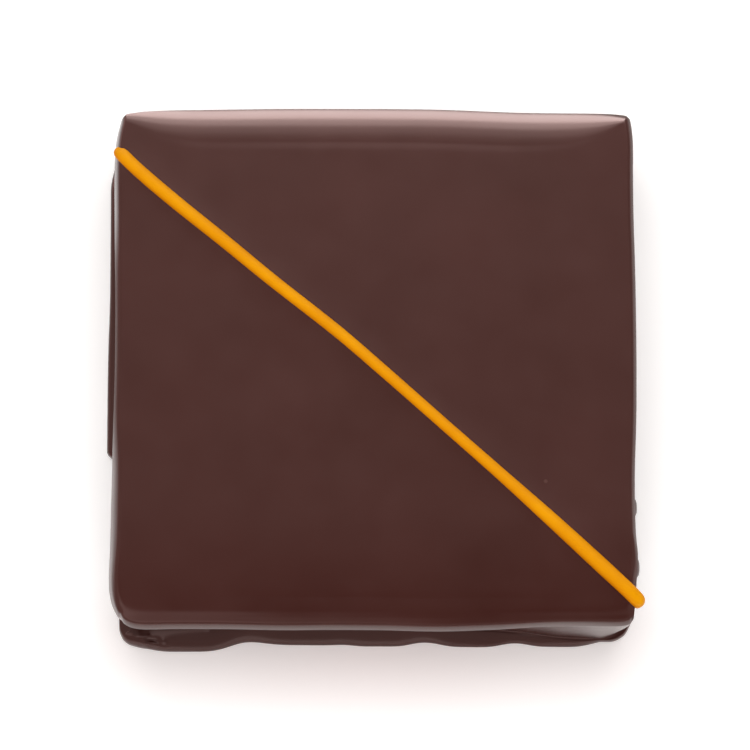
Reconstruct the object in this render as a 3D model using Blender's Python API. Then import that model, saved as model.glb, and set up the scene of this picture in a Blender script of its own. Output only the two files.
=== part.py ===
"""Square enrobed chocolate bonbon with one piped line across its top.

Metres, +Z up. The origin is the middle of the flat base. The front, -Y, is the side whose foot shows most,
and the piped line runs from the back left to the front right.
"""

import math

import bmesh
import bpy

MM = 0.001

# The bonbon's overall height, and the four corners of its shoulder, where the top meets the sides.
HEIGHT = 9.5 * MM
FRONT_LEFT = (-14.05 * MM, -13.75 * MM)
FRONT_RIGHT = (14.05 * MM, -13.95 * MM)
BACK_RIGHT = (13.98 * MM, 14.16 * MM)
BACK_LEFT = (-13.98 * MM, 14.21 * MM)
HALF_SIDE = 14.0 * MM
CROWN = 0.06 * MM

# The sides run front, right, back, left. Each swells past the straight line between its corners. The swell at
# the foot of the wall is a share of that, and a higher curl keeps the wall upright until near the shoulder.
CORNERS = (FRONT_LEFT, FRONT_RIGHT, BACK_RIGHT, BACK_LEFT)
SHOULDER_SWELL = (0.42 * MM, 0.25 * MM, 0.45 * MM, 0.56 * MM)
SWELL_SQUARENESS = (30, 30, 10, 18)
WALL_BASE_SHARE = (-1.3, 0.4, 0.6, 0.4)
WALL_CURL = (2.6, 1.0, 1.0, 1.0)

# Lobes, of the swell and of the foot: side, place along it from -1 to 1, further reach, and half width.
SWELL_LOBES = (
    (0, -0.37, 0.04 * MM, 1.9 * MM),
    (0, 0.18, 0.05 * MM, 1.8 * MM),
    (0, 0.53, 0.05 * MM, 1.5 * MM),
    (0, 0.84, 0.06 * MM, 1.3 * MM),
    (1, 0.93, 0.05 * MM, 1.6 * MM),
    (1, 0.66, -0.04 * MM, 2.4 * MM),
    (1, 0.10, 0.05 * MM, 4.5 * MM),
    (1, -0.50, -0.11 * MM, 3.0 * MM),
    (1, -0.75, 0.07 * MM, 0.9 * MM),
    (2, -0.72, -0.22 * MM, 5.2 * MM),
    (3, -0.10, -0.19 * MM, 6.5 * MM),
    (3, 0.75, 0.02 * MM, 6.0 * MM),
    (3, 0.95, 0.12 * MM, 2.6 * MM),
)
FOOT_LOBES = (
    (0, -0.95, 0.10 * MM, 0.8 * MM),
    (0, -0.74, 0.60 * MM, 2.6 * MM),
    (0, -0.27, 0.20 * MM, 2.6 * MM),
    (0, 0.02, 0.24 * MM, 1.7 * MM),
    (0, 0.37, 0.24 * MM, 1.8 * MM),
    (0, 0.71, 0.23 * MM, 1.7 * MM),
    (0, 0.97, -0.20 * MM, 1.5 * MM),
    (1, -0.70, 0.42 * MM, 0.7 * MM),
    (1, -0.46, 0.30 * MM, 0.6 * MM),
    (1, 0.30, 0.12 * MM, 3.0 * MM),
    (2, -0.70, 0.30 * MM, 2.2 * MM),
    (2, -0.15, 0.42 * MM, 2.9 * MM),
    (2, 0.52, 0.24 * MM, 2.0 * MM),
    (3, 0.10, 0.09 * MM, 5.0 * MM),
    (3, 0.62, 0.16 * MM, 1.8 * MM),
)
SWELL_LOBE_SQUARENESS = 2.5
FOOT_LOBE_SQUARENESS = 4

# The rounded edge between each side and the top. A higher tail runs it out flatter towards the top. Its lean is
# the share of the drop that the tail takes, and the nose takes the rest.
EDGE_WIDTH = (1.80 * MM, 0.36 * MM, 2.20 * MM, 0.55 * MM)
EDGE_DROP = (1.75 * MM, 0.38 * MM, 0.58 * MM, 1.30 * MM)
EDGE_TAIL = (3.0, 2.0, 3.2, 3.0)
EDGE_LEAN = (0.35, 1.0, 1.0, 1.0)
NOSE_TAIL = 11.0

# Each side's edge width at its corners, and each corner's own drop, tail and lean in the order of CORNERS. The
# mitre is how fast an edge widens away from a corner.
CORNER_WIDTH = (1.80 * MM, 0.36 * MM, 0.45 * MM, 0.50 * MM)
CORNER_DROP = (1.40 * MM, 0.90 * MM, 0.30 * MM, 0.35 * MM)
CORNER_TAIL = (3.0, 2.5, 2.6, 3.0)
CORNER_LEAN = (0.6, 0.7, 1.0, 1.0)
MITRE = 0.85

# Where the left edge drops less and ends in a crease: the same four values as a lobe, 1 at most.
CREASES = ((3, -0.10, 1.0, 6.3 * MM),)
CREASE_SQUARENESS = 6
CREASED_DROP = 0.34 * MM

# Radius of the upright corners in plan, and of the foot's corners in the same order as CORNERS.
TOP_CORNER = 0.04 * MM
SHOULDER_CORNER = 0.20 * MM
WALL_BASE_CORNER = 1.7 * MM
FOOT_CORNERS = (0.8 * MM, 1.2 * MM, 1.5 * MM, 1.3 * MM)

# The foot is the coating that has run down and set round the base. It stands higher where a lobe reaches out,
# has a small undercut at the floor, and joins the wall in a hollow fillet.
FOOT_REACH = (0.24 * MM, 0.34 * MM, 0.62 * MM, 0.46 * MM)
FOOT_HEIGHT = (1.00 * MM, 0.80 * MM, 0.80 * MM, 0.80 * MM)
FOOT_SQUARENESS = (1.3, 2.0, 2.0, 4.0)
FOOT_CLIMB = 0.35
LEAST_FOOT_WIDTH = 0.16 * MM
FOOT_LIP = 0.10 * MM
FOOT_LIP_HEIGHT = 0.20 * MM
FOOT_FILLET = 0.15 * MM
FOOT_FILLET_SHARE = 0.5

# The left side's foot is one long ledge that starts near the back corner and ends in a blunt tip.
LEDGE_SIDE = 3
LEDGE_START = -1.0
LEDGE_END = 0.30
LEDGE_REACH = 0.62 * MM
LEDGE_START_LENGTH = 0.22
LEDGE_END_LENGTH = 0.05

# The piped line: its route over the top in plan, with the radius of the bead at each point.
BEAD = 0.375 * MM
BEAD_SINK = 0.13 * MM
LINE_ROUTE = (
    (-13.20 * MM, 11.11 * MM, 1.06),
    (-11.18 * MM, 9.36 * MM, 1.06),
    (-8.41 * MM, 7.11 * MM, 1.02),
    (-5.67 * MM, 4.84 * MM, 0.98),
    (-2.20 * MM, 2.08 * MM, 0.95),
    (0.47 * MM, -0.24 * MM, 0.93),
    (3.76 * MM, -3.17 * MM, 0.91),
    (7.05 * MM, -6.10 * MM, 0.96),
    (9.65 * MM, -8.46 * MM, 1.10),
    (12.22 * MM, -10.84 * MM, 1.15),
    (13.30 * MM, -11.85 * MM, 1.13),
)
# Where each end of the line droops over an edge in a blunt tip: plan, drop below the top, and radius.
LINE_BACK_END = (
    (-14.24 * MM, 12.41 * MM, 0.70 * MM, 0.35),
    (-14.20 * MM, 12.35 * MM, 0.56 * MM, 0.84),
    (-14.05 * MM, 12.06 * MM, 0.26 * MM, 1.04),
)
LINE_FRONT_END = (
    (13.95 * MM, -12.46 * MM, 0.14 * MM, 1.13),
    (14.30 * MM, -12.80 * MM, 0.42 * MM, 1.10),
    (14.37 * MM, -12.87 * MM, 0.95 * MM, 0.90),
    (14.35 * MM, -12.86 * MM, 1.12 * MM, 0.40),
)
CURVE_STEPS = 6

# How finely the form is faceted.
STEPS_PER_SIDE = 38
CORNER_CROWDING = 0.35
LIP_RINGS = 3
FOOT_RINGS = 5
FILLET_RINGS = 3
WALL_RINGS = 6
EDGE_RINGS = 8
TOP_RINGS = 4

CHOCOLATE = (0.085, 0.031, 0.021, 1.0)
CHOCOLATE_ROUGHNESS = 0.32


def smooth_step(low, high, value):
    share = min(1.0, max(0.0, (value - low) / (high - low)))
    return share * share * (3 - 2 * share)


def mixed(first, second, share):
    return first + (second - first) * share


def along_side(step):
    """Place along a side, -1 to 1, with the points crowded towards the corners."""
    even = 2 * step / STEPS_PER_SIDE - 1
    return mixed(even, math.sin(even * math.pi / 2), CORNER_CROWDING)


def stations():
    """(side, place along it) of each point round the outline, anticlockwise from the front left corner."""
    return [(side, along_side(step)) for side in range(4) for step in range(STEPS_PER_SIDE)]


def around(side, place):
    """How far round the outline a place is, with each side 2 long."""
    return 2 * side + 1 + place


def lobed(lobes, squareness, station):
    """The summed reach of the lobes at a station. Each is a bump that runs on round a corner."""
    total = 0.0
    for side, place, reach, half_width in lobes:
        gap = abs(around(*station) - around(side, place)) % 8
        distance = min(gap, 8 - gap) * HALF_SIDE / half_width
        total += reach * math.exp(-(distance**squareness))
    return total


def round_corner(place, radius):
    """How far out a square of half side 1 with rounded corners lies, as a share, at that place on a side."""
    low = abs(place)
    flat = 1 - radius
    if low <= flat:
        return 1.0
    # The ray from the middle meets the corner's arc, whose centre is (flat, flat).
    lean = flat * (1 + low)
    reach = 1 + low * low
    return (lean + math.sqrt(lean * lean - reach * (2 * flat * flat - radius * radius))) / reach


def placed(station, offset, along, corner_radius):
    """Plan position of a station. It lies offset out across its side, whose ends reach along further out."""
    side, place = station
    share = round_corner(place, corner_radius / (HALF_SIDE + offset))
    u = share * place * (1 + along / HALF_SIDE)
    v = share * (1 + offset / HALF_SIDE)
    x, y = ((u, -v), (v, u), (-u, v), (-v, -u))[side]
    x, y = (1 + x) / 2, (1 + y) / 2
    weights = ((1 - x) * (1 - y), x * (1 - y), x * y, (1 - x) * y)
    return tuple(sum(w * corner[axis] for w, corner in zip(weights, CORNERS)) for axis in (0, 1))


def shoulder_offset(station):
    """The swell along a side, which falls to nothing at its corners."""
    side, place = station
    swell = SHOULDER_SWELL[side] + lobed(SWELL_LOBES, SWELL_LOBE_SQUARENESS, station)
    return swell * (1 - abs(place) ** SWELL_SQUARENESS[side])


def wall_base_offset(station):
    return WALL_BASE_SHARE[station[0]] * shoulder_offset(station)


def blended(values, station):
    """A side's value, blended with its neighbour's across the corner that they share."""
    side, place = station
    neighbour = values[(side + (1 if place > 0 else -1)) % 4]
    return mixed(values[side], (values[side] + neighbour) / 2, abs(place) ** 6)


def foot_reach(station):
    """How far the foot stands out from the straight lines between the shoulder's corners."""
    side, place = station
    reach = blended(FOOT_REACH, station) + lobed(FOOT_LOBES, FOOT_LOBE_SQUARENESS, station)
    if side == LEDGE_SIDE:
        start = smooth_step(LEDGE_START, LEDGE_START + LEDGE_START_LENGTH, place)
        end = 1 - smooth_step(LEDGE_END - LEDGE_END_LENGTH, LEDGE_END, place)
        reach += LEDGE_REACH * start * end
    return max(reach, wall_base_offset(station) + LEAST_FOOT_WIDTH)


def foot_height(station):
    return blended(FOOT_HEIGHT, station) + FOOT_CLIMB * lobed(FOOT_LOBES, FOOT_LOBE_SQUARENESS, station)


def foot_fillet(station):
    return min(FOOT_FILLET, FOOT_FILLET_SHARE * (foot_reach(station) - wall_base_offset(station)))


def foot_rings(station):
    """The foot from the base up: its undercut lip, its round back, and the fillet that joins it to the wall."""
    side, place = station
    reach, wall = foot_reach(station), wall_base_offset(station)
    height, fillet = foot_height(station), foot_fillet(station)
    corner = FOOT_CORNERS[(side + (place > 0)) % 4]
    for ring in range(LIP_RINGS):
        angle = math.pi / 2 * ring / (LIP_RINGS - 1)
        yield reach - FOOT_LIP * (1 - math.sin(angle)), FOOT_LIP_HEIGHT * (1 - math.cos(angle)), corner
    power = blended(FOOT_SQUARENESS, station)
    for ring in range(1, FOOT_RINGS + 1):
        out = math.cos(math.pi / 2 * ring / FOOT_RINGS)
        rise = (1 - out**power) ** (1 / power)
        yield mixed(wall + fillet, reach, out), mixed(FOOT_LIP_HEIGHT, height, rise), corner
    for ring in range(1, FILLET_RINGS + 1):
        angle = math.pi / 2 * ring / FILLET_RINGS
        radius = mixed(corner, WALL_BASE_CORNER, ring / FILLET_RINGS)
        yield wall + fillet * (1 - math.sin(angle)), height + fillet * (1 - math.cos(angle)), radius


def edge_values(station):
    """The edge's width, drop, tail and lean, which run into its corner's own."""
    side, place = station
    corner = (side + (place > 0)) % 4
    gap = MITRE * HALF_SIDE * (1 - abs(place))
    share = gap / (gap**3 + EDGE_WIDTH[side] ** 3) ** (1 / 3)
    drop = mixed(EDGE_DROP[side], CREASED_DROP, lobed(CREASES, CREASE_SQUARENESS, station))
    own = (EDGE_WIDTH[side], drop, EDGE_TAIL[side], EDGE_LEAN[side])
    at_corner = (CORNER_WIDTH[side], CORNER_DROP[corner], CORNER_TAIL[corner], CORNER_LEAN[corner])
    return [mixed(low, high, share) for low, high in zip(at_corner, own)]


def wall_rings(station):
    low = foot_height(station) + foot_fillet(station)
    high = HEIGHT - edge_values(station)[1]
    for ring in range(1, WALL_RINGS + 1):
        share = ring / WALL_RINGS
        offset = mixed(wall_base_offset(station), shoulder_offset(station), share ** WALL_CURL[station[0]])
        radius = mixed(WALL_BASE_CORNER, SHOULDER_CORNER, 1 - (1 - share) ** 1.5)
        yield offset, mixed(low, high, share), radius


def edge_rings(station):
    """The rounded edge, from the wall to the top, with its rings closer together at the wall."""
    width, drop, tail, lean = edge_values(station)
    for ring in range(1, EDGE_RINGS + 1):
        out = math.cos(math.pi / 2 * ring / EDGE_RINGS)
        offset = shoulder_offset(station) - width * (1 - out)
        fall = mixed(out**NOSE_TAIL, out**tail, lean)
        yield offset, HEIGHT - drop * fall, mixed(TOP_CORNER, SHOULDER_CORNER, out)


def top_rings(station):
    """Rings inside the edge, which close in on the middle of the top."""
    start = shoulder_offset(station) - edge_values(station)[0]
    for ring in range(1, TOP_RINGS + 1):
        share = ring / (TOP_RINGS + 1)
        yield mixed(start, -HALF_SIDE, share), HEIGHT, TOP_CORNER


def crowned(x, y, z):
    """The top rises very slightly towards its middle, and the sides stay as they are."""
    if z < HEIGHT:
        return z
    return z + CROWN * (1 - (x / HALF_SIDE) ** 2) * (1 - (y / HALF_SIDE) ** 2)


def section(station):
    """The rings from the base to the middle of the top: offset, height and corner radius of each."""
    return [*foot_rings(station), *wall_rings(station), *edge_rings(station), *top_rings(station)]


def make_body():
    """The coated body: rings of points joined into one closed skin, with a flat base."""
    starts, ends = ([section((side, end)) for side in range(4)] for end in (-1.0, 1.0))
    sections = []
    for station in stations():
        side, place = station
        points = []
        for level, (offset, z, corner_radius) in enumerate(section(station)):
            # Each end of a side lies as far out as the neighbouring side does there.
            along = mixed(ends[side - 1][level][0], starts[(side + 1) % 4][level][0], (1 + place) / 2)
            x, y = placed(station, offset, along, corner_radius)
            points.append((x, y, crowned(x, y, z)))
        sections.append(points)
    mesh = bmesh.new()
    columns = [[mesh.verts.new(point) for point in points] for points in sections]
    for index, column in enumerate(columns):
        following = columns[(index + 1) % len(columns)]
        for level in range(len(column) - 1):
            mesh.faces.new((column[level], following[level], following[level + 1], column[level + 1]))
    mesh.faces.new([column[0] for column in reversed(columns)])
    middle = mesh.verts.new((0, 0, HEIGHT + CROWN))
    for index, column in enumerate(columns):
        following = columns[(index + 1) % len(columns)]
        mesh.faces.new((column[-1], following[-1], middle))
    return finish_mesh("enrobed_bonbon", mesh)


def finish_mesh(name, mesh):
    data = bpy.data.meshes.new(name)
    mesh.to_mesh(data)
    mesh.free()
    data.shade_smooth()
    body = bpy.data.objects.new(name, data)
    bpy.context.scene.collection.objects.link(body)
    return body


def line_points():
    """Centre points of the bead with its radius, from the back end over the top to the front end."""
    points = []
    for x, y, drop, share in LINE_BACK_END:
        points.append((x, y, HEIGHT - drop, share))
    for x, y, share in LINE_ROUTE:
        points.append((x, y, crowned(x, y, HEIGHT) - BEAD_SINK, share))
    for x, y, drop, share in LINE_FRONT_END:
        points.append((x, y, HEIGHT - drop, share))
    return points


def make_line():
    """The piped line, a round bead on a smooth curve, sunk a little into the top."""
    curve = bpy.data.curves.new("piped_line", "CURVE")
    curve.dimensions = "3D"
    curve.resolution_u = CURVE_STEPS
    curve.bevel_depth = BEAD
    curve.bevel_resolution = 2
    curve.use_fill_caps = True
    points = line_points()
    spline = curve.splines.new("BEZIER")
    spline.bezier_points.add(len(points) - 1)
    for knot, (x, y, z, share) in zip(spline.bezier_points, points):
        knot.co = (x, y, z)
        knot.radius = share
        knot.handle_left_type = "AUTO"
        knot.handle_right_type = "AUTO"
    guide = bpy.data.objects.new("piped_line_curve", curve)
    bpy.context.scene.collection.objects.link(guide)
    bpy.context.view_layer.update()
    graph = bpy.context.evaluated_depsgraph_get()
    data = bpy.data.meshes.new_from_object(guide.evaluated_get(graph))
    bpy.data.objects.remove(guide)
    return bpy.data.objects.new("piped_line", data)


def fuse(body, pieces):
    """Joins what lies on the body into it, as one solid, and removes the separate pieces."""
    group = bpy.data.collections.new("fused_pieces")
    bpy.context.scene.collection.children.link(group)
    for piece in pieces:
        group.objects.link(piece)
    union = body.modifiers.new("fuse", "BOOLEAN")
    union.operation = "UNION"
    union.operand_type = "COLLECTION"
    union.collection = group
    union.solver = "EXACT"
    bpy.context.view_layer.update()
    graph = bpy.context.evaluated_depsgraph_get()
    data = bpy.data.meshes.new_from_object(body.evaluated_get(graph))
    body.modifiers.clear()
    body.data = data
    for piece in pieces:
        bpy.data.objects.remove(piece)
    bpy.data.collections.remove(group)


def chocolate():
    material = bpy.data.materials.new("dark_chocolate")
    material.use_nodes = True
    shader = material.node_tree.nodes["Principled BSDF"]
    shader.inputs["Base Color"].default_value = CHOCOLATE
    shader.inputs["Roughness"].default_value = CHOCOLATE_ROUGHNESS
    shader.inputs["Metallic"].default_value = 0.0
    return material


def main():
    for old in list(bpy.data.objects):
        bpy.data.objects.remove(old)
    body = make_body()
    fuse(body, [make_line()])
    body.data.materials.clear()
    body.data.materials.append(chocolate())


main()
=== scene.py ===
import bpy
import numpy as np
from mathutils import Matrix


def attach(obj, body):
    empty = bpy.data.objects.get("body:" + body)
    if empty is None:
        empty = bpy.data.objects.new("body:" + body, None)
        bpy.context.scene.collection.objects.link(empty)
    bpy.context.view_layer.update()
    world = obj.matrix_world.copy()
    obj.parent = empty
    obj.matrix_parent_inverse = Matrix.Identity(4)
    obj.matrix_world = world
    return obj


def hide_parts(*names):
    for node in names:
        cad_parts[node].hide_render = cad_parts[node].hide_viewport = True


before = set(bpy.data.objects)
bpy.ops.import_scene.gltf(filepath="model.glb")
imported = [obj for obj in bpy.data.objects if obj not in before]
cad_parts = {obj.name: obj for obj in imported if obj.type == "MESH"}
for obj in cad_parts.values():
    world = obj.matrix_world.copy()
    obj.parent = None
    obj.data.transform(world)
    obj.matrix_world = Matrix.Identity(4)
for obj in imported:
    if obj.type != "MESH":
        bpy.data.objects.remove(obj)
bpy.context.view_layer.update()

mm = 0.001
node = "enrobed_bonbon"

# The coated body, in millimetres. The sides run front, right, back, left, and the corners from the front left
coat = {
    "height": 9.5,
    "corners": ((-14.05, -13.75), (14.05, -13.95), (13.98, 14.16), (-13.98, 14.21)),
    "halfSide": 14.0,
    "crown": 0.06,  # how far the middle of the top stands above its edge
    "swell": (0.51, 0.25, 0.45, 0.56),  # how far each side bulges past the line between its corners
    "swellSquareness": (30, 30, 10, 18),
    "wallBaseShare": (-1.1, 0.4, 0.6, 0.4),  # the swell at the foot of the wall, as a share
    "uprightShare": -0.1,  # and the same where a lobe keeps the wall upright
    "wallCurl": (2.6, 1.0, 1.0, 1.0),  # higher keeps the wall upright and swells it only near the shoulder
    "edgeWidth": (1.87, 0.36, 2.20, 0.53),
    "edgeDrop": (1.05, 0.38, 0.58, 1.30),
    "creasedDrop": 0.34,  # the drop where the edge ends in a crease
    "edgeTail": (5.5, 2.0, 3.2, 3.0),  # higher runs the edge out flatter towards the top
    "edgeLean": (0.55, 1.0, 1.0, 1.0),  # the share of the drop that the tail takes. The nose takes the rest
    "noseTail": (8.5, 9.0),  # the nose's own tail at the start and the end of a side
    "noseChange": (-0.8, 0.6),  # and the places between which it changes over
    "cornerWidth": (1.38, 0.36, 0.45, 0.18),  # each side's edge width at its corners
    "cornerDrop": (1.05, 0.90, 0.30, 0.08),  # each corner's own drop, tail and lean
    "cornerTail": (5.0, 3.5, 2.6, 2.6),
    "cornerLean": (0.6, 0.7, 1.0, 1.0),
    "mitre": 0.85,  # how fast an edge widens away from a corner, and how sharply it stops
    "mitrePower": 3,
    "sideBlend": 6,  # higher blends two sides over less of their length
    # Radius of the upright corners in plan, on the top, the shoulder and the foot of the wall
    "topCorner": 0.04,
    "shoulderCorner": 0.20,
    "wallBaseCorner": 1.7,
    "cornerCurl": 1.5,  # higher brings the shoulder's radius further down the wall
    "columns": 800,  # points round the outline
    "crowding": 0.35,  # how much they gather at the corners
}

# The foot of set coating, in millimetres
foot = {
    "reach": (0.239, 0.339, 0.619, 0.459),
    "leastWidth": 0.16,
    "corners": (0.8, 1.2, 1.5, 1.3),  # radius of its corners in plan
    "height": (1.00, 0.80, 0.80, 0.80),
    "climb": 0.35,  # how much higher it stands for each millimetre that a lobe reaches out
    "lip": 0.10,  # the undercut at the floor, and its height
    "lipHeight": 0.20,
    "squareness": (1.2, 2.0, 2.0, 4.0),  # of its section
    "roundness": (1.35, 2.0, 2.0, 4.0),  # of its section's outer end
    "ringSpread": 0.8,  # lower moves the rings of its section away from the outer end
    "fillet": 0.15,
    "filletShare": 0.5,  # and no more than this share of the foot's width
    "ledgeSide": 3,
    "ledgeStart": -1.0,
    "ledgeStartLength": 0.22,
    "ledgeEnd": 0.30,
    "ledgeEndLength": 0.05,
    "ledgeReach": 0.62,
}

# Lobes: side, place along it from -1 to 1, further reach and half width in millimetres
swellLobes = (
    (0, -0.37, 0.04, 1.9),
    (0, 0.22, 0.05, 1.8),
    (0, 0.80, -0.30, 4.1),
    (1, 0.93, 0.05, 1.6),
    (1, 0.66, -0.04, 2.4),
    (1, 0.10, 0.05, 4.5),
    (1, -0.50, -0.11, 3.0),
    (1, -0.75, 0.07, 0.9),
    (2, -0.72, -0.22, 5.2),
    (2, 0.78, -0.07, 4.0),
    (3, -0.10, -0.19, 6.5),
    (3, 0.75, 0.02, 6.0),
    (3, 0.95, 0.12, 2.6),
)
footLobes = (
    (0, -0.95, 0.10, 0.8),
    (0, -0.74, 0.60, 2.6),
    (0, -0.27, 0.20, 2.6),
    (0, 0.02, 0.24, 1.7),
    (0, 0.37, 0.24, 1.8),
    (0, 0.71, 0.19, 1.7),
    (0, 0.97, -0.20, 1.5),
    (1, -0.70, 0.42, 0.7),
    (1, -0.46, 0.30, 0.6),
    (1, 0.30, 0.12, 3.0),
    (2, -0.70, 0.30, 2.2),
    (2, -0.15, 0.42, 2.9),
    (2, 0.52, 0.24, 2.0),
    (3, 0.10, 0.09, 5.0),
    (3, 0.62, 0.16, 1.8),
)
# Where the foot stands lower, where the edge is wider or narrower, and, as a share of 1 at most, where the
# wall is upright and where the edge ends in a crease
footHeightLobes = ((0, 0.72, -0.36, 5.5),)
edgeWidthLobes = ((0, 0.80, -0.30, 4.1), (3, 0.62, 0.26, 4.2), (3, -0.70, -0.06, 4.0))
uprightLobes = ((0, 0.88, 1.0, 3.0),)
creaseLobes = ((3, -0.10, 1.0, 6.3),)
lobeSquareness = {"swell": 2.5, "foot": 4, "crease": 6, "other": 3}

# How many rings of points each stretch of the section has, from the base's middle to the top's
rings = {"base": 5, "lip": 8, "foot": 18, "fillet": 6, "wall": 16, "edge": 26, "top": 38}


# A share of the way from low to high that starts and ends gently, share squared times (3 - 2 * share)
def smoothStep(low, high, value):
    share = np.clip((value - low) / (high - low), 0, 1)
    return share * share * (3 - 2 * share)


def mixed(first, second, share):
    return first + (second - first) * share


# The side and the place of every column. A side runs from -1 to 1, so the outline is 8 long. The places
# gather at the corners, as even steps mixed with a sine of them
def outlinePlaces():
    perSide = coat["columns"] // 4
    even = np.linspace(-1, 1, perSide, endpoint=False)
    place = mixed(even, np.sin(even * np.pi / 2), coat["crowding"])
    return np.repeat(np.arange(4), perSide), np.tile(place, 4)


# The sum of bumps reach * exp(-(distance / half width) ** squareness), measured along the outline
def lobed(lobes, side, place, squareness):
    total = np.zeros(len(side))
    for lobeSide, lobePlace, reach, halfWidth in lobes:
        gap = np.abs(2 * side + place - 2 * lobeSide - lobePlace) % 8
        distance = np.minimum(gap, 8 - gap) * coat["halfSide"] / halfWidth
        total += reach * np.exp(-(distance ** squareness))
    return total


# How far out a square of half side 1 with rounded corners lies, as a share, at a place on its side: 1 along
# the flat, and past it where the ray from the middle meets the corner's arc
def roundedCorner(place, radius):
    low = np.abs(place)
    flat = 1 - radius
    lean = flat * (1 + low)
    reach = 1 + low * low
    inside = np.maximum(lean * lean - reach * (2 * flat * flat - radius * radius), 0)
    return np.where(low <= flat, 1.0, (lean + np.sqrt(inside)) / reach)


# A square is moved out, its corners rounded, and spread over the four named corners. Across a side the offset
# is the column's own. Along it, the two ends lie as far out as the neighbouring sides do there
def placed(side, place, offset, starts, ends, cornerRadius):
    along = mixed(ends[:, (side - 1) % 4], starts[:, (side + 1) % 4], (1 + place) / 2)
    half = coat["halfSide"]
    lengthwise, crosswise = place * (1 + along / half), 1 + offset / half
    x = np.choose(side, (lengthwise, crosswise, -lengthwise, -crosswise))
    y = np.choose(side, (-crosswise, lengthwise, crosswise, -lengthwise))
    share = roundedCorner(place, np.minimum(cornerRadius / (half + offset), 1))
    x, y = (1 + x * share) / 2, (1 + y * share) / 2
    weights = ((1 - x) * (1 - y), x * (1 - y), x * y, (1 - x) * y)
    return [sum(w * corner[axis] for w, corner in zip(weights, coat["corners"])) for axis in (0, 1)]


def bySide(values, side):
    return np.array(values, float)[side]


# The values of two neighbouring sides meet halfway at the corner that they share, by a power of the place
def blendedBySide(values, side, place):
    own = bySide(values, side)
    neighbour = bySide(values, (side + np.where(place > 0, 1, -1)) % 4)
    return mixed(own, (own + neighbour) / 2, np.abs(place) ** coat["sideBlend"])


# How far out the shoulder and the foot of the wall stand, and the shoulder before it falls to nothing at the
# corners, which it does as 1 - place ** squareness
def wallOf(side, place):
    fullSwell = bySide(coat["swell"], side) + lobed(swellLobes, side, place, lobeSquareness["swell"])
    swell = fullSwell * (1 - np.abs(place) ** bySide(coat["swellSquareness"], side))
    upright = lobed(uprightLobes, side, place, lobeSquareness["other"])
    base = mixed(bySide(coat["wallBaseShare"], side), coat["uprightShare"], upright) * swell
    return fullSwell, swell, base


# The foot's reach, its height and the radius of the fillet that joins it to the wall. The ledge is a stretch
# between two smooth steps
def footOf(side, place, wallBase):
    lobes = lobed(footLobes, side, place, lobeSquareness["foot"])
    start = smoothStep(foot["ledgeStart"], foot["ledgeStart"] + foot["ledgeStartLength"], place)
    end = 1 - smoothStep(foot["ledgeEnd"] - foot["ledgeEndLength"], foot["ledgeEnd"], place)
    ledge = foot["ledgeReach"] * start * end * (side == foot["ledgeSide"])
    reach = blendedBySide(foot["reach"], side, place) + lobes + ledge
    reach = np.maximum(reach, wallBase + foot["leastWidth"])
    height = blendedBySide(foot["height"], side, place) + foot["climb"] * lobes
    height += lobed(footHeightLobes, side, place, lobeSquareness["other"])
    return reach, height, np.minimum(foot["fillet"], foot["filletShare"] * (reach - wallBase))


# Where the rounded edge ends on the top, its drop, its tail and its lean. Each runs from its corner's own
# value to its side's, by the share gap / (gap ** n + width ** n) ** (1 / n) of the gap to the corner
def edgeOf(side, place, fullSwell):
    corner = (side + (place > 0)) % 4
    width = bySide(coat["edgeWidth"], side) + lobed(edgeWidthLobes, side, place, lobeSquareness["other"])
    gap = coat["mitre"] * coat["halfSide"] * (1 - np.abs(place))
    power = coat["mitrePower"]
    share = gap / (gap ** power + width ** power) ** (1 / power)
    inner = mixed(-bySide(coat["cornerWidth"], side), fullSwell - width, share)
    crease = lobed(creaseLobes, side, place, lobeSquareness["crease"])
    drop = mixed(bySide(coat["edgeDrop"], side), coat["creasedDrop"], crease)
    drop = mixed(bySide(coat["cornerDrop"], corner), drop, share)
    tail = mixed(bySide(coat["cornerTail"], corner), bySide(coat["edgeTail"], side), share)
    lean = mixed(bySide(coat["cornerLean"], corner), bySide(coat["edgeLean"], side), share)
    return inner, drop, tail, lean


# Even shares of the way along a stretch, one for each ring, without its start
def sharesOf(stretch, withEnd=True):
    return np.linspace(0, 1, rings[stretch] + 1, endpoint=withEnd)[1:, None]


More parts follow.
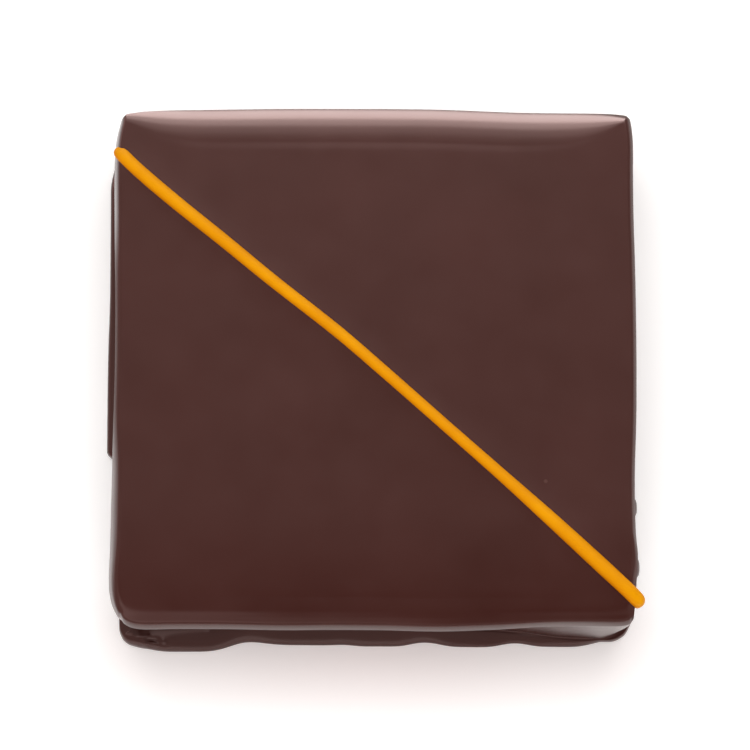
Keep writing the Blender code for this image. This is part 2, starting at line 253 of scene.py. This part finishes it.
# The section at every column, as rings of offset, height and corner radius. The lip is a quarter ellipse
# under the foot, and the fillet a quarter circle. The foot is near a quarter of a superellipse, its height
# times (1 - u ** n) ** (1 / m) with u from the wall outwards. The edge falls by its drop times
# lean * u ** tail + (1 - lean) * u ** noseTail, with u from 0 at the top to 1 at the wall
def coatSection(side, place):
    fullSwell, swell, wall = wallOf(side, place)
    reach, height, fillet = footOf(side, place, wall)
    inner, drop, tail, lean = edgeOf(side, place, fullSwell)
    corner = bySide(foot["corners"], (side + (place > 0)) % 4)
    parts = []

    def add(offset, z, radius):
        parts.append(np.broadcast_arrays(offset, z, radius))

    t = sharesOf("base", withEnd=False)
    add(mixed(-coat["halfSide"], reach - foot["lip"], t), 0.0, corner * t)
    angle = np.pi / 2 * np.linspace(0, 1, rings["lip"])[:, None]
    add(reach - foot["lip"] * (1 - np.sin(angle)), foot["lipHeight"] * (1 - np.cos(angle)), corner)
    u = np.cos(np.pi / 2 * sharesOf("foot") ** foot["ringSpread"])
    power = blendedBySide(foot["squareness"], side, place)
    roundness = blendedBySide(foot["roundness"], side, place)
    z = foot["lipHeight"] + (height - foot["lipHeight"]) * (1 - u ** power) ** (1 / roundness)
    add(wall + fillet + (reach - wall - fillet) * u, z, corner)
    t = sharesOf("fillet")
    angle = np.pi / 2 * t
    z = height + fillet * (1 - np.cos(angle))
    add(wall + fillet * (1 - np.sin(angle)), z, mixed(corner, coat["wallBaseCorner"], t))
    t = sharesOf("wall")
    z = mixed(height + fillet, coat["height"] - drop, t)
    radius = mixed(coat["wallBaseCorner"], coat["shoulderCorner"], 1 - (1 - t) ** coat["cornerCurl"])
    add(mixed(wall, swell, t ** bySide(coat["wallCurl"], side)), z, radius)
    u = np.cos(np.pi / 2 * sharesOf("edge"))
    noseTail = mixed(*coat["noseTail"], smoothStep(*coat["noseChange"], place))
    z = coat["height"] - drop * mixed(u ** noseTail, u ** tail, lean)
    add(mixed(inner, swell, u), z, mixed(coat["topCorner"], coat["shoulderCorner"], u))
    t = sharesOf("top", withEnd=False)
    add(mixed(inner, -coat["halfSide"], t), coat["height"], coat["topCorner"])
    return [np.concatenate(values) for values in zip(*parts)]


# A grid of rings by columns, closed round the outline and by one point at each pole, as a smooth mesh
def gridMesh(name, points, lowPole, highPole):
    ringCount, columnCount = points.shape[:2]
    index = np.arange(ringCount * columnCount).reshape(ringCount, columnCount)
    turned = np.roll(index, -1, axis=1)
    quads = np.stack([index[:-1], turned[:-1], turned[1:], index[1:]], axis=-1).reshape(-1, 4)
    low, high = ringCount * columnCount, ringCount * columnCount + 1
    lowFan = np.stack([turned[0], index[0], np.full(columnCount, low)], axis=-1)
    highFan = np.stack([index[-1], turned[-1], np.full(columnCount, high)], axis=-1)
    verts = np.concatenate([points.reshape(-1, 3), [lowPole], [highPole]]) * mm
    loops = np.concatenate([quads.ravel(), lowFan.ravel(), highFan.ravel()])
    sizes = np.concatenate([np.full(len(quads), 4), np.full(2 * columnCount, 3)])
    mesh = bpy.data.meshes.new(name)
    mesh.vertices.add(len(verts))
    mesh.vertices.foreach_set("co", verts.astype(np.float32).ravel())
    mesh.loops.add(len(loops))
    mesh.loops.foreach_set("vertex_index", loops.astype(np.int32))
    mesh.polygons.add(len(sizes))
    mesh.polygons.foreach_set("loop_start", (np.cumsum(sizes) - sizes).astype(np.int32))
    mesh.update(calc_edges=True)
    mesh.validate()
    mesh.shade_smooth()
    piece = bpy.data.objects.new(name, mesh)
    bpy.context.scene.collection.objects.link(piece)
    return piece


# The top rises towards its middle as a parabola each way
def crownHeight(x, y):
    half = coat["halfSide"]
    return coat["crown"] * np.clip(1 - (x / half) ** 2, 0, 1) * np.clip(1 - (y / half) ** 2, 0, 1)


# How far points lie from the nearest stretch of a path in plan
def distanceToPath(x, y, path):
    nearest = np.full(x.shape, np.inf)
    for (startX, startY), (endX, endY) in zip(path[:-1], path[1:]):
        alongX, alongY = endX - startX, endY - startY
        share = ((x - startX) * alongX + (y - startY) * alongY) / (alongX ** 2 + alongY ** 2)
        share = np.clip(share, 0, 1)
        nearest = np.minimum(nearest, np.hypot(x - startX - share * alongX, y - startY - share * alongY))
    return nearest


# Low relief, in millimetres. The top falls towards its front edge, swells under the piped line and waves
# gently. The foot has folds where the coating ran together, and small beads
relief = {
    "frontFall": 0.26,  # how far the front edge falls, and the places between which it does
    "fallFrom": -8.2,
    "fallTo": -13.6,
    "humps": ((0.022, 0.60), (0.018, 1.6)),  # height and half width of each
    # Height, length, direction in degrees and phase of each wave
    "waves": ((0.0022, 9.5, 35, 0.4), (0.0018, 6.1, 118, 1.9), (0.0010, 3.7, 74, 0.8)),
    "topDepth": 0.5,  # the top's relief fades out over this depth
    # From x, y to x, y, depth and half width of each fold
    "folds": (
        (-12.80, -14.00, -12.45, -14.05, 0.15, 0.09),
        (-12.35, -14.06, -11.90, -14.28, 0.08, 0.11),
        (-13.25, -14.05, -13.20, -14.45, 0.08, 0.12),
    ),
    # x, y, height and half width of each bead
    "beads": (
        (-12.82, -13.88, 0.08, 0.12), (-11.95, -14.16, 0.12, 0.15), (-13.00, -14.26, 0.10, 0.16),
        (-13.30, -14.05, 0.14, 0.38), (-9.35, -13.62, 0.05, 0.12), (-12.30, -14.32, 0.06, 0.12),
    ),
    "footRise": 0.3,  # the foot's relief fades in over this height above the lip
    "footEnd": (1.2, 1.8),  # and out between these heights
}


# Rises and dips are bell shaped, exp(-(distance / half width) ** 2), the waves are sines, and the front falls
# by the square of the way to its edge
def topRelief(x, y):
    distance = distanceToPath(x, y, [row[:2] for row in line["route"]])
    fall = np.clip((y - relief["fallFrom"]) / (relief["fallTo"] - relief["fallFrom"]), 0, 1)
    rise = -relief["frontFall"] * fall * fall
    for height, halfWidth in relief["humps"]:
        rise += height * np.exp(-(distance / halfWidth) ** 2)
    for height, length, direction, phase in relief["waves"]:
        turn = np.radians(direction)
        rise += height * np.sin(2 * np.pi * (x * np.cos(turn) + y * np.sin(turn)) / length + phase)
    return rise


# The same bell shapes, as dips along the folds and rises at the beads
def footRelief(x, y):
    rise = np.zeros(x.shape)
    for startX, startY, endX, endY, depth, halfWidth in relief["folds"]:
        distance = distanceToPath(x, y, ((startX, startY), (endX, endY)))
        rise -= depth * np.exp(-(distance / halfWidth) ** 2)
    for beadX, beadY, height, halfWidth in relief["beads"]:
        rise += height * np.exp(-(np.hypot(x - beadX, y - beadY) / halfWidth) ** 2)
    return rise


# The section's rings are placed round the outline, and then the top and the foot get their relief
def makeCoat(material):
    side, place = outlinePlaces()
    offset, z, radius = coatSection(side, place)
    starts, ends = (coatSection(np.arange(4), np.full(4, end))[0] for end in (-1.0, 1.0))
    x, y = placed(side, place, offset, starts, ends, radius)
    top, lip = coat["height"], foot["lipHeight"]
    z = np.where(z >= top, z + crownHeight(x, y), z)
    z += topRelief(x, y) * smoothStep(top - relief["topDepth"], top, z)
    onFoot = smoothStep(lip, lip + relief["footRise"], z) * (1 - smoothStep(*relief["footEnd"], z))
    z += footRelief(x, y) * onFoot
    middle = top + coat["crown"] + topRelief(np.zeros(1), np.zeros(1))[0]
    piece = gridMesh("chocolate_coat", np.stack([x, y, z], axis=-1), (0, 0, 0), (0, 0, middle))
    piece.data.materials.append(material)
    return piece


# The piped line, in millimetres
line = {
    "bead": 0.375,  # its radius
    "flatness": 0.8,  # its height as a share of its width
    "sink": 0.06,  # how far its middle lies below the top
    # Its way over the top, with the radius as a share: x, y, share
    "route": (
        (-13.20, 11.11, 1.06), (-11.18, 9.36, 1.06), (-8.41, 7.11, 1.02), (-5.67, 4.84, 0.98),
        (-2.20, 2.08, 0.95), (0.47, -0.24, 0.93), (3.76, -3.17, 0.91), (7.05, -6.10, 0.96),
        (9.65, -8.46, 1.10), (12.22, -10.84, 1.15), (13.30, -11.85, 1.13),
    ),
    # Its ends, which droop over the edges: x, y, drop below the top, share
    "backEnd": ((-14.22, 12.34, 0.60, 0.94), (-14.05, 11.98, 0.14, 1.04)),
    "frontEnd": ((13.95, -12.46, 0.14, 1.13), (14.30, -12.80, 0.42, 1.10), (14.37, -12.87, 1.12, 0.95)),
    "leastDome": 0.002,  # the square of the end ring's radius, as a share
    # Painted shade on the bead: how dark it makes the colour at the front and back edges, and how fast that
    # fades inwards
    "shadeFront": (1.0, 2),
    "shadeBack": (0.35, 4),
    "shadeEnds": 0.5,
    "steps": 520,
    "sides": 28,
}


# A smooth curve through the rows of a list, by Catmull-Rom: each stretch is a cubic in f, the way along it,
# whose ends lean on the neighbouring rows. The steps are then spaced evenly by length
def smoothCurve(rows, steps):
    rows = np.array(rows, float)
    padded = np.concatenate([[2 * rows[0] - rows[1]], rows, [2 * rows[-1] - rows[-2]]])
    t = np.linspace(0, len(rows) - 1, steps)
    k = np.minimum(t.astype(int), len(rows) - 2)
    f = (t - k)[:, None]
    a, b, c, d = (padded[k + i] for i in range(4))
    square, cube = 2 * a - 5 * b + 4 * c - d, 3 * b - a - 3 * c + d
    curve = 0.5 * (2 * b + (c - a) * f + square * f ** 2 + cube * f ** 3)
    length = np.concatenate([[0], np.cumsum(np.linalg.norm(np.diff(curve[:, :3], axis=0), axis=1))])
    even = np.linspace(0, length[-1], steps)
    return np.stack([np.interp(even, length, column) for column in curve.T], axis=1), even


# The middle of the bead, with its radius as a share, from the back end over the top to the front end
def lineRows():
    top = coat["height"]
    rows = [(x, y, top - drop, share) for x, y, drop, share in line["backEnd"]]
    rows += [(x, y, top + crownHeight(x, y) - line["sink"], share) for x, y, share in line["route"]]
    rows += [(x, y, top - drop, share) for x, y, drop, share in line["frontEnd"]]
    return rows


# An ellipse carried along the line's path, centre + across * cos(angle) - up * flatness * sin(angle). Near an
# end its size falls as a half dome, the root of 1 - (1 - distance / radius) ** 2
def makeLine(material):
    path, length = smoothCurve(lineRows(), line["steps"])
    centre, radius = path[:, :3], line["bead"] * path[:, 3]
    fromEnd = np.minimum(length, length[-1] - length)
    dome = np.sqrt(np.clip(1 - (1 - np.minimum(fromEnd / radius, 1)) ** 2, line["leastDome"], 1))
    along = np.gradient(centre, axis=0)
    along /= np.linalg.norm(along, axis=1)[:, None]
    across = np.cross(along, (0, 0, 1))
    across /= np.linalg.norm(across, axis=1)[:, None]
    up = np.cross(across, along)
    angle = np.linspace(0, 2 * np.pi, line["sides"], endpoint=False)[None, :, None]
    ring = across[:, None] * np.cos(angle) - up[:, None] * np.sin(angle) * line["flatness"]
    points = centre[:, None] + ring * (radius * dome)[:, None, None]
    piece = gridMesh("piped_line", points, centre[0], centre[-1])
    piece.data.materials.append(material)
    # Painted shade for the bead's colour: strongest along its front-left side, weaker along its back-right
    # side, and set at the two end points
    outward = np.cos(angle[0, :, 0])
    beadShade = sum(share * np.clip(edge, 0, 1) ** power
               for edge, (share, power) in ((outward, line["shadeFront"]), (-outward, line["shadeBack"])))
    values = np.append(np.tile(beadShade, line["steps"]), [line["shadeEnds"]] * 2)
    piece.data.attributes.new("beadShade", "FLOAT", "POINT").data.foreach_set("value", values.astype(np.float32))
    return piece


def shaderFor(name, colour, roughness, ior=1.5, tint=(1, 1, 1)):
    material = bpy.data.materials.new(name)
    material.use_nodes = True
    shader = material.node_tree.nodes["Principled BSDF"]
    shader.inputs["Base Color"].default_value = (*colour, 1)
    shader.inputs["Roughness"].default_value = roughness
    shader.inputs["IOR"].default_value = ior
    shader.inputs["Specular Tint"].default_value = (*tint, 1)
    return material, shader


# A value spread from one range over another
def spreadOver(tree, value, fromRange, toRange, kind="LINEAR"):
    spread = tree.nodes.new("ShaderNodeMapRange")
    spread.interpolation_type = kind
    for socket, end in zip(("From Min", "From Max", "To Min", "To Max"), (*fromRange, *toRange)):
        spread.inputs[socket].default_value = end
    tree.links.new(value, spread.inputs["Value"])
    return spread.outputs["Result"]


# One step of arithmetic on a value, with a number or another value
def combined(tree, operation, value, other):
    step = tree.nodes.new("ShaderNodeMath")
    step.operation = operation
    tree.links.new(value, step.inputs[0])
    if isinstance(other, float):
        step.inputs[1].default_value = other
    else:
        tree.links.new(other, step.inputs[1])
    return step.outputs["Value"]


noise = {"detail": 3.0, "ends": (0.3, 0.7)}  # most of the noise lies between its ends


# Noise on the object's own coordinates, its lows and highs spread over a range of values
def patternFor(tree, scale, low, high):
    place = tree.nodes.new("ShaderNodeTexCoord")
    pattern = tree.nodes.new("ShaderNodeTexNoise")
    pattern.inputs["Scale"].default_value = scale
    pattern.inputs["Detail"].default_value = noise["detail"]
    tree.links.new(place.outputs["Object"], pattern.inputs["Vector"])
    return spreadOver(tree, pattern.outputs["Fac"], noise["ends"], (low, high))


# A colour that goes from the first to the second by a share. The first may be another node's colour
def shadesFor(tree, share, first, second):
    blend = tree.nodes.new("ShaderNodeMix")
    blend.data_type = "RGBA"
    if isinstance(first, tuple):
        blend.inputs["A"].default_value = (*first, 1)
    else:
        tree.links.new(first, blend.inputs["A"])
    blend.inputs["B"].default_value = (*second, 1)
    tree.links.new(share, blend.inputs["Factor"])
    return blend.outputs["Result"]


# The finish's own roughness and fine grain, both from noise
def finishFor(tree, shader, finish):
    roughness = patternFor(tree, finish["patches"], *finish["roughness"])
    tree.links.new(roughness, shader.inputs["Roughness"])
    bump = tree.nodes.new("ShaderNodeBump")
    bump.inputs["Strength"].default_value = 1.0
    bump.inputs["Distance"].default_value = finish["grainDepth"] * mm
    tree.links.new(patternFor(tree, finish["grain"], 0, 1), bump.inputs["Height"])
    tree.links.new(bump.outputs["Normal"], shader.inputs["Normal"])


# Noises are in waves a metre
chocolate = {
    "dark": (0.0425, 0.0112, 0.0083),
    "light": (0.0495, 0.0138, 0.0107),
    "drift": 160,  # the noise between the two
    "roughness": (0.205, 0.24),  # the least and most
    "patches": 650,  # and the noise between them
    "ior": 1.55,
    "tint": (1, 0.74, 0.70),  # of its highlights
    "grain": 2600,
    "grainDepth": 0.0006,  # in millimetres
    "speck": (0.075, 0.030, 0.024),
    "speckSpacing": 230,  # cells a metre, of which few hold a speck
    "speckSize": (0.016, 0.032),  # where it starts to fade and ends, as a share of a cell
    "speckShare": 0.16,
}


def chocolateMaterial():
    material, shader = shaderFor("dark_chocolate", chocolate["dark"], chocolate["roughness"][0],
                                 chocolate["ior"], chocolate["tint"])
    tree = material.node_tree
    drift = patternFor(tree, chocolate["drift"], 0, 1)
    shades = shadesFor(tree, drift, chocolate["dark"], chocolate["light"])
    # Fine pale specks, one in a few of the cells of a scattered pattern
    place = tree.nodes.new("ShaderNodeTexCoord")
    cells = tree.nodes.new("ShaderNodeTexVoronoi")
    cells.inputs["Scale"].default_value = chocolate["speckSpacing"]
    tree.links.new(place.outputs["Object"], cells.inputs["Vector"])
    small = spreadOver(tree, cells.outputs["Distance"], chocolate["speckSize"], (1, 0))
    split = tree.nodes.new("ShaderNodeSeparateColor")
    tree.links.new(cells.outputs["Color"], split.inputs["Color"])
    few = combined(tree, "LESS_THAN", split.outputs["Red"], chocolate["speckShare"])
    specked = shadesFor(tree, combined(tree, "MULTIPLY", small, few), shades, chocolate["speck"])
    tree.links.new(specked, shader.inputs["Base Color"])
    finishFor(tree, shader, chocolate)
    return material


icing = {
    "deep": (0.74, 0.275, 0.0),
    "bright": (0.83, 0.345, 0.0),
    "drift": 420,
    "edge": (0.66, 0.185, 0.0),  # painted shade along the bead's sides, darkest on its front-left side, which faces away from the light
    "shadeShare": 0.8,
    "roughness": (0.46, 0.56),
    "patches": 950,
    "shine": 0.05,
    "grain": 3800,
    "grainDepth": 0.0015,
}


def icingMaterial():
    material, shader = shaderFor("orange_icing", icing["bright"], icing["roughness"][0])
    shader.inputs["Specular IOR Level"].default_value = icing["shine"]
    tree = material.node_tree
    shades = shadesFor(tree, patternFor(tree, icing["drift"], 0, 1), icing["deep"], icing["bright"])
    # The attribute carries the painted shade along the bead's sides
    beadShade = tree.nodes.new("ShaderNodeAttribute")
    beadShade.attribute_name = "beadShade"
    share = combined(tree, "MULTIPLY", beadShade.outputs["Fac"], icing["shadeShare"])
    shadedBead = shadesFor(tree, share, shades, icing["edge"])
    tree.links.new(shadedBead, shader.inputs["Base Color"])
    finishFor(tree, shader, icing)
    return material


# The direction at a turn, in degrees from the right towards the back, and a lift above the floor
def towards(turn, lift):
    turn, lift = np.radians(turn), np.radians(lift)
    return np.array((np.cos(turn) * np.cos(lift), np.sin(turn) * np.cos(lift), np.sin(lift)))


# The camera looks down on the middle of the top. Its distance and target are in millimetres
view = {
    "elevation": 81,
    "distance": 330,
    "target": (-0.08, -0.38, 9.5),
    "lens": 288.3,
    "sensor": 36,
    "clip": (0.01, 20),  # in metres
}


def makeCamera():
    camera = bpy.data.objects.new("camera", bpy.data.cameras.new("camera"))
    bpy.context.scene.collection.objects.link(camera)
    back = towards(270, view["elevation"])
    camera.location = (np.array(view["target"]) + back * view["distance"]) * mm
    camera.rotation_euler = (np.pi / 2 - np.radians(view["elevation"]), 0, 0)
    camera.data.lens = view["lens"]
    camera.data.sensor_width = view["sensor"]
    camera.data.clip_start, camera.data.clip_end = view["clip"]
    bpy.context.scene.camera = camera


# Soft boxes: where they stand round the bonbon (degrees from the right, towards the back), how high, how far
# off in metres, their width and height in metres, and their radiance. The fills light surfaces and the cards
# only show in them, as highlights
softBoxes = {
    "fill": {"round": 90, "up": 79, "away": 0.9, "size": (0.5, 0.5), "radiance": 6.3, "card": False},
    "frontFill": {"round": 270, "up": 30, "away": 0.9, "size": (0.6, 0.3), "radiance": 3.0, "card": False},
    "backCard": {"round": 90, "up": 18, "away": 0.9, "size": (0.50, 0.55), "radiance": 6.4, "card": True},
    "backGlow": {"round": 90, "up": 30, "away": 0.92, "size": (0.60, 0.85), "radiance": 3.7, "card": True},
    "backHaze": {"round": 90, "up": 38, "away": 0.94, "size": (0.90, 1.2), "radiance": 1.2, "card": True},
    "overCard": {"round": 90, "up": 65, "away": 0.9, "size": (1.7, 0.36), "radiance": 0.25, "card": True},
    "leftCard": {"round": 152, "up": 16, "away": 0.9, "size": (0.35, 0.4), "radiance": 3.4, "card": True,
                 "colour": (1, 0.76, 0.74)},
    "frontCard": {"round": 236, "up": 57, "away": 0.12, "size": (0.07, 0.05), "radiance": 0.9, "card": True},
}


# A box of that radiance gives off radiance * pi * area
def makeLights():
    for name, box in softBoxes.items():
        light = bpy.data.lights.new(name, "AREA")
        light.shape = "RECTANGLE"
        light.size, light.size_y = box["size"]
        light.energy = box["radiance"] * np.pi * light.size * light.size_y
        light.color = box.get("colour", (1, 1, 1))
        lamp = bpy.data.objects.new(name, light)
        bpy.context.scene.collection.objects.link(lamp)
        lamp.location = box["away"] * towards(box["round"], box["up"])
        lamp.rotation_euler = (np.pi / 2 - np.radians(box["up"]), 0, np.radians(box["round"]) + np.pi / 2)
        lamp.visible_diffuse = not box["card"]
        lamp.visible_glossy = box["card"]


# The room is even, a little brighter towards the back, and dark within some degrees of the camera
room = {
    "strength": 0.50,
    "colour": (1, 0.93, 0.91),
    "fromBack": 0.05,
    "dark": 0.02,
    "darkWithin": 8,
    "evenFrom": 24,
}


# How far a direction points along another, as their dot product
def alongDirection(tree, direction, along):
    product = tree.nodes.new("ShaderNodeVectorMath")
    product.operation = "DOT_PRODUCT"
    product.inputs[1].default_value = along
    tree.links.new(direction, product.inputs[0])
    return product.outputs["Value"]


# The strength is (even + back share) times a fade that falls to dark where the direction nears the camera's
def makeRoom():
    world = bpy.data.worlds.new("studio")
    bpy.context.scene.world = world
    world.use_nodes = True
    tree = world.node_tree
    direction = tree.nodes.new("ShaderNodeTexCoord").outputs["Generated"]
    nearness = alongDirection(tree, direction, towards(270, view["elevation"]))
    ends = [np.cos(np.radians(room[name])) for name in ("evenFrom", "darkWithin")]
    fade = spreadOver(tree, nearness, ends, (1, room["dark"] / room["strength"]), "SMOOTHSTEP")
    backward = alongDirection(tree, direction, (0, room["fromBack"], 0))
    strength = combined(tree, "MULTIPLY", combined(tree, "ADD", backward, room["strength"]), fade)
    background = tree.nodes["Background"]
    background.inputs["Color"].default_value = (*room["colour"], 1)
    tree.links.new(strength, background.inputs["Strength"])


# The floor has a painted warm shadow in front of the bonbon, a darker, warmer colour that fades from the
# middle of an ellipse
ground = {
    "size": 8,  # in metres
    "colour": (0.9, 0.89, 0.88),
    "roughness": 0.6,
    "glow": 0.28,
    "shadeColour": (0.87, 0.74, 0.72),
    "shadeMiddle": (0, -14.5),  # in millimetres, as is its reach
    "shadeReach": (21.0, 5.5),
}


def warmShadeFor(tree, shader):
    place = tree.nodes.new("ShaderNodeTexCoord")
    centred = tree.nodes.new("ShaderNodeMapping")
    centred.vector_type = "TEXTURE"
    centred.inputs["Location"].default_value = (*(value * mm for value in ground["shadeMiddle"]), 0)
    centred.inputs["Scale"].default_value = (*(value * mm for value in ground["shadeReach"]), 1)
    fade = tree.nodes.new("ShaderNodeTexGradient")
    fade.gradient_type = "SPHERICAL"
    tree.links.new(place.outputs["Object"], centred.inputs["Vector"])
    tree.links.new(centred.outputs["Vector"], fade.inputs["Vector"])
    tinted = shadesFor(tree, fade.outputs["Fac"], ground["colour"], ground["shadeColour"])
    tree.links.new(tinted, shader.inputs["Base Color"])


def makeFloor():
    bpy.ops.mesh.primitive_plane_add(size=ground["size"])
    floor = bpy.context.object
    floor.name = "floor"
    material, shader = shaderFor("pale_floor", ground["colour"], ground["roughness"])
    warmShadeFor(material.node_tree, shader)
    shader.inputs["Specular IOR Level"].default_value = 0.0
    shader.inputs["Emission Color"].default_value = (1, 1, 1, 1)
    shader.inputs["Emission Strength"].default_value = ground["glow"]
    floor.data.materials.append(material)


makeCamera()
makeLights()
makeRoom()
makeFloor()
print("stage: camera, lights, room and floor")

body = makeCoat(chocolateMaterial())
print("coat:", len(body.data.polygons), "faces")
piped = makeLine(icingMaterial())
print("line:", len(piped.data.polygons), "faces")

for piece, slot in ((body, "dark_chocolate"), (piped, "orange_icing")):
    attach(piece, "root")
    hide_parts(node)

bpy.context.scene.view_settings.view_transform = "Standard"
